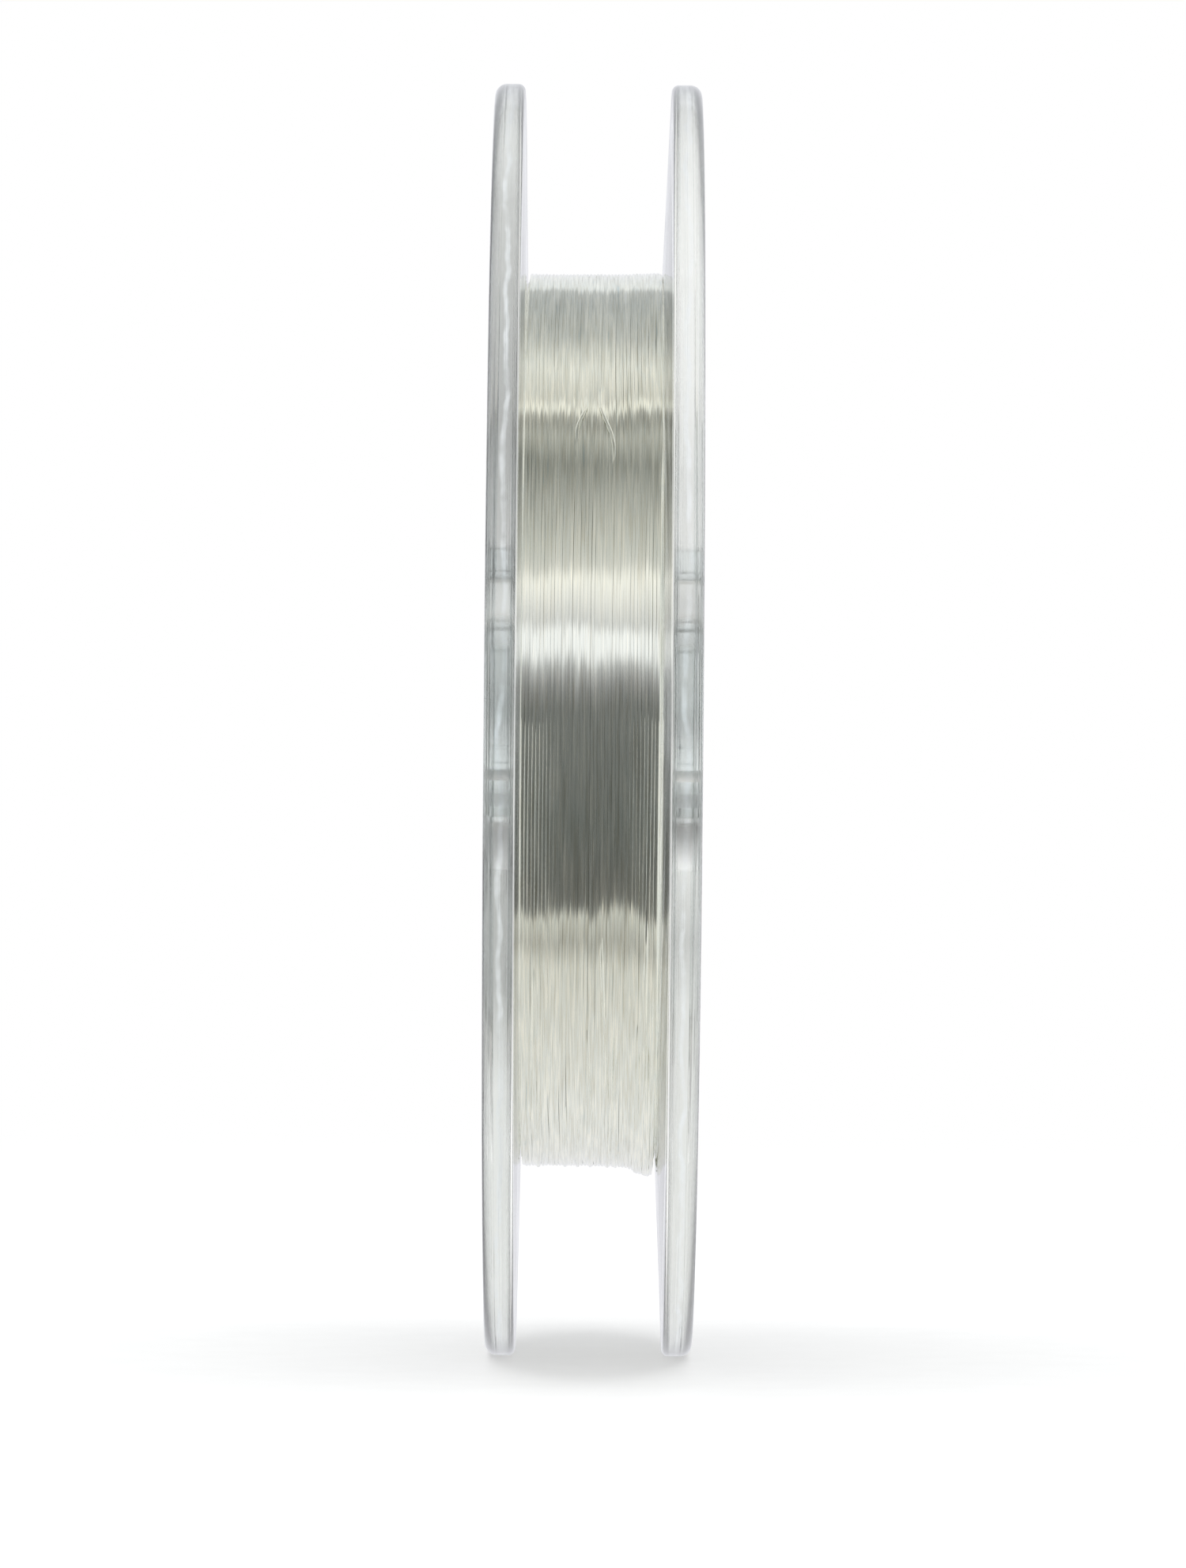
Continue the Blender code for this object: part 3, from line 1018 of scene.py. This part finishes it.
def strip_color(angle, level):
    """A strip's light, from its brightness on the screen and the tint round that angle."""
    light = ((level / 255 + 0.055) / 1.055) ** 2.4 / STRAND_GLEAM
    degrees, red, blue = zip(*STUDIO_TINT)
    return light * np.interp(angle, degrees, red), light, light * np.interp(angle, degrees, blue)


def make_world():
    """Soft boxes and screens in strips along the spool's axis, with an even grey at its ends.

    Seen directly the studio is white, and through the clear plastic from the front nearly so.
    """
    world = bpy.data.worlds.new("studio")
    bpy.context.scene.world = world
    world.use_nodes = True
    tree = world.node_tree
    where = tree.nodes.new("ShaderNodeTexCoord").outputs["Generated"]
    parts = tree.nodes.new("ShaderNodeSeparateXYZ")
    tree.links.new(where, parts.inputs[0])
    x, y, z = parts.outputs
    turn = math_node(tree, "ARCTAN2", z, x)
    share = math_node(tree, "MULTIPLY_ADD", turn, 1 / TURN, 0.5)
    stops = [((angle + 180) / 360, strip_color(angle, level)) for angle, level in STUDIO]
    ends = fade(tree, math_node(tree, "ABSOLUTE", y), 0.75, 0.97, eased=True)
    around = mixed_color(tree, ends, ramp(tree, share, stops), END_COLOR)
    ray = tree.nodes.new("ShaderNodeLightPath")
    behind = fade(tree, x, 0.3, -0.3, eased=True)
    backlit = math_node(tree, "MULTIPLY", ray.outputs["Is Transmission Ray"], behind)
    through = mixed_color(tree, backlit, around, BACKDROP_COLOR)
    seen = mixed_color(tree, ray.outputs["Is Camera Ray"], through, WHITE)
    tree.links.new(seen, tree.nodes["Background"].inputs["Color"])
    tree.nodes["Background"].inputs["Strength"].default_value = 1.0


def white_far_away(tree, shader, near, far):
    """Mixes the floor's shader into an even white glow with distance, so no horizon shows."""
    where = tree.nodes.new("ShaderNodeTexCoord").outputs["Object"]
    distance = tree.nodes.new("ShaderNodeVectorMath")
    distance.operation = "LENGTH"
    tree.links.new(where, distance.inputs[0])
    away = fade(tree, distance.outputs["Value"], near, far, eased=True)
    glow = tree.nodes.new("ShaderNodeEmission")
    mix = tree.nodes.new("ShaderNodeMixShader")
    share = math_node(tree, "MULTIPLY_ADD", away, 1 - FLOOR_GLOW, FLOOR_GLOW)
    tree.links.new(share, mix.inputs[0])
    tree.links.new(shader.outputs[0], mix.inputs[1])
    tree.links.new(glow.outputs[0], mix.inputs[2])
    tree.links.new(mix.outputs[0], tree.nodes["Material Output"].inputs["Surface"])


def make_floor():
    mesh = bpy.data.meshes.new("floor")
    size = FLOOR_HALF_SIZE
    corners = [(-size, -size, 0), (size, -size, 0), (size, size, 0), (-size, size, 0)]
    mesh.from_pydata(corners, [], [(0, 1, 2, 3)])
    floor = bpy.data.objects.new("floor", mesh)
    floor.location = (0, 0, FLOOR_Z)
    bpy.context.scene.collection.objects.link(floor)
    material, tree, shader = new_material("pale_floor")
    grain = object_noise(tree, 300.0, 2.0)
    tree.links.new(ramp(tree, grain, FLOOR_SHADES), shader.inputs["Base Color"])
    shader.inputs["Roughness"].default_value = 0.9
    shader.inputs["Specular IOR Level"].default_value = 0.0
    white_far_away(tree, shader, *FLOOR_FADE)
    mesh.materials.append(material)
    floor.visible_glossy = False


def make_lamp():
    """One large soft box overhead for the floor and the matt surfaces."""
    lamp = bpy.data.lights.new("overhead", "AREA")
    lamp.shape = "RECTANGLE"
    lamp.size = LAMP_SIZE
    lamp.size_y = LAMP_SIZE
    lamp.energy = LAMP_POWER
    obj = bpy.data.objects.new("overhead", lamp)
    obj.location = (0, 0, LAMP_HEIGHT)
    obj.visible_glossy = False
    obj.visible_transmission = False
    obj.visible_camera = False
    bpy.context.scene.collection.objects.link(obj)


def make_camera():
    camera = bpy.data.cameras.new("camera")
    camera.sensor_fit = "AUTO"
    camera.sensor_width = 36
    camera.lens = LENS
    camera.clip_start = 0.05
    camera.clip_end = 20
    obj = bpy.data.objects.new("camera", camera)
    bpy.context.scene.collection.objects.link(obj)
    cos, sin = math.cos(CAMERA_ROLL), math.sin(CAMERA_ROLL)
    axes = Matrix(((0, 0, 1), (cos, -sin, 0), (sin, cos, 0)))
    obj.matrix_world = Matrix.Translation((CAMERA_DISTANCE, 0, -CAMERA_DROP)) @ axes.to_4x4()
    bpy.context.scene.camera = obj


def main():
    scene = bpy.context.scene
    scene.view_settings.view_transform = "Standard"
    scene.cycles.max_bounces = 32
    scene.cycles.transmission_bounces = 28
    scene.cycles.glossy_bounces = 16

    hub_plastic = clear_plastic("clear_plastic_hub", PLASTIC_DENSITY, EVEN_SHADES)
    # The flanges carry painted shade on their rims, and the left one more absorption as painted
    # shade
    left_plastic = clear_plastic("clear_plastic_left_painted_shade", SHADED_LEFT_PLASTIC_DENSITY, LEFT_RIM_PAINTED_SHADE)
    right_plastic = clear_plastic("clear_plastic_right_painted_shade", PLASTIC_DENSITY, RIGHT_RIM_PAINTED_SHADE)
    line = monofilament("monofilament", 0.0)
    pack = monofilament("monofilament_pack", 1.0)
    paper = label_paper()
    tape = clear_tape()

    make_camera()
    make_world()
    make_lamp()
    make_floor()

    left_profile = mirrored(flange_profile(LEFT_HUB_FACE))
    left = make_flange("left_flange_moulding", left_profile, left_plastic)
    right = make_flange("right_flange_moulding", flange_profile(RIGHT_HUB_FACE), right_plastic)
    hub = make_hub(hub_plastic)
    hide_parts("flange_left")
    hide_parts("flange_right")
    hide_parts("hub_core")

    for strand in make_line(line, pack):
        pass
    make_end_tape(tape)
    for node in ("label_left", "label_right"):
        make_label(node, paper)

    start_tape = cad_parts["start_tape"]
    for slot in start_tape.material_slots:
        slot.material = tape


main()
